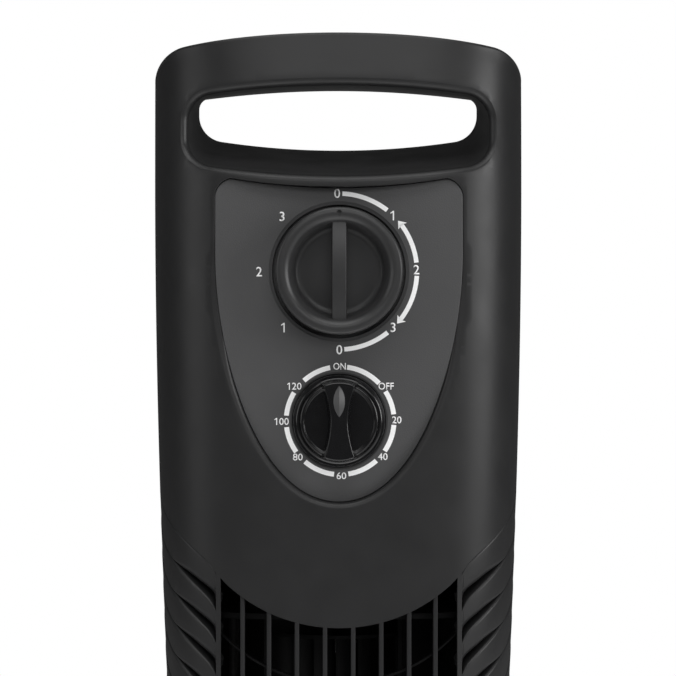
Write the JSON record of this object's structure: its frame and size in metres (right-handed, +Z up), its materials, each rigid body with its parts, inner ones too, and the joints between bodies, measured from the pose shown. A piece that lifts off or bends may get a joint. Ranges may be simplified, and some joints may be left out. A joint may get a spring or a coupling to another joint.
{
  "type": "tower fan",
  "caption": "Oscillating tower fan: a tapered column with a carrying handle, speed dial, timer dial, slatted outlet and side louvres on a round base.",
  "frame": {"origin": "centre of the round base on the floor", "axes": "+Z up along the sweep axis, the front with its outlet and dials faces -Y, +X to the right seen from the front"},
  "size_m": [0.24, 0.24, 0.7366],
  "materials": {
    "shell_plastic": "satin moulded black plastic",
    "black_plastic": "plain moulded black plastic",
    "louvre_plastic": "satin moulded black plastic",
    "grille_plastic": "satin moulded black plastic",
    "panel_plastic": "dark grey plastic with a fine leather grain",
    "knob_plastic": "satin black plastic",
    "gloss_plastic": "polished black plastic",
    "wheel_plastic": "black plastic",
    "natural_plastic": "unpainted natural nylon",
    "foot_rubber": "matt black rubber",
    "soft_rubber": "black rubber",
    "zinc_steel": "zinc plated",
    "plated_steel": "zinc plated sheet",
    "spring_steel": "ground steel",
    "laminated_steel": "stacked steel sheets",
    "copper_wire": "varnished copper wire",
    "bronze": "sintered bronze"
  },
  "bodies": {
    "base": {"base_cover": "black_plastic", "base_plate": "black_plastic", "base_screws": "zinc_steel", "rubber_feet": "foot_rubber", "pivot_post": "black_plastic", "pivot_post_screws": "zinc_steel", "thrust_washer": "natural_plastic", "fixed_gear": "natural_plastic", "fixed_gear_screws": "zinc_steel"},
    "column": {"cord_grommet": "soft_rubber", "column_foot": "black_plastic", "column_foot_screws": "zinc_steel", "front_shell": "shell_plastic", "rear_shell": "shell_plastic", "shell_screws": "zinc_steel", "front_grille": "grille_plastic", "rear_grille": "grille_plastic", "louvre_left": "louvre_plastic", "louvre_right": "louvre_plastic", "control_panel": "panel_plastic", "panel_clips": "spring_steel", "speed_switch": "natural_plastic", "switch_screws": "zinc_steel", "timer_unit": "plated_steel", "timer_screws": "zinc_steel", "timer_bell": "spring_steel", "duct_scroll": "black_plastic", "duct_tongue": "black_plastic", "duct_top_plate": "black_plastic", "duct_bottom_plate": "black_plastic", "motor_stator": "laminated_steel", "motor_coils": "copper_wire", "motor_top_bracket": "plated_steel", "motor_bottom_bracket": "plated_steel", "motor_screws": "zinc_steel", "motor_bearings": "bronze", "motor_capacitor": "black_plastic", "upper_bearing": "bronze", "bearing_rubber": "soft_rubber", "bearing_cap": "plated_steel", "sweep_motor": "plated_steel", "sweep_motor_screws": "zinc_steel", "terminal_block": "natural_plastic", "wire_loom": "soft_rubber"},
    "pinion": {"sweep_pinion": "natural_plastic"},
    "blower": {"blower_wheel": "wheel_plastic", "blower_end_hub": "wheel_plastic", "upper_stub_shaft": "spring_steel", "motor_rotor": "laminated_steel", "motor_shaft": "spring_steel", "hub_set_screw": "zinc_steel"},
    "speed_dial": {"speed_knob": "knob_plastic", "speed_shaft": "spring_steel"},
    "timer_dial": {"timer_knob": "gloss_plastic", "timer_shaft": "spring_steel"}
  },
  "joints": [
    {"name": "sweep", "type": "hinge", "parent": "base", "child": "column", "pos_m": [0, 0, 0.05], "axis": [0, 0, 1], "range_deg": [-35, 35]},
    {"name": "pinion_turn", "type": "hinge", "parent": "column", "child": "pinion", "pos_m": [0.03705, 0, 0.05], "axis": [0, 0, 1], "range_deg": [-135, 135]},
    {"name": "blower_spin", "type": "hinge", "parent": "column", "child": "blower", "pos_m": [0, 0.006, 0.3], "axis": [0, 0, 1], "continuous": true},
    {"name": "speed_turn", "type": "hinge", "parent": "column", "child": "speed_dial", "pos_m": [0, -0.06, 0.6296], "axis": [0, 1, 0], "continuous": true},
    {"name": "timer_turn", "type": "hinge", "parent": "column", "child": "timer_dial", "pos_m": [0, -0.06, 0.5632], "axis": [0, 1, 0], "range_deg": [0, 315]}
  ],
  "couplings": [
    {"joint": "pinion_turn", "follows": "sweep", "ratio": 3.75}
  ]
}
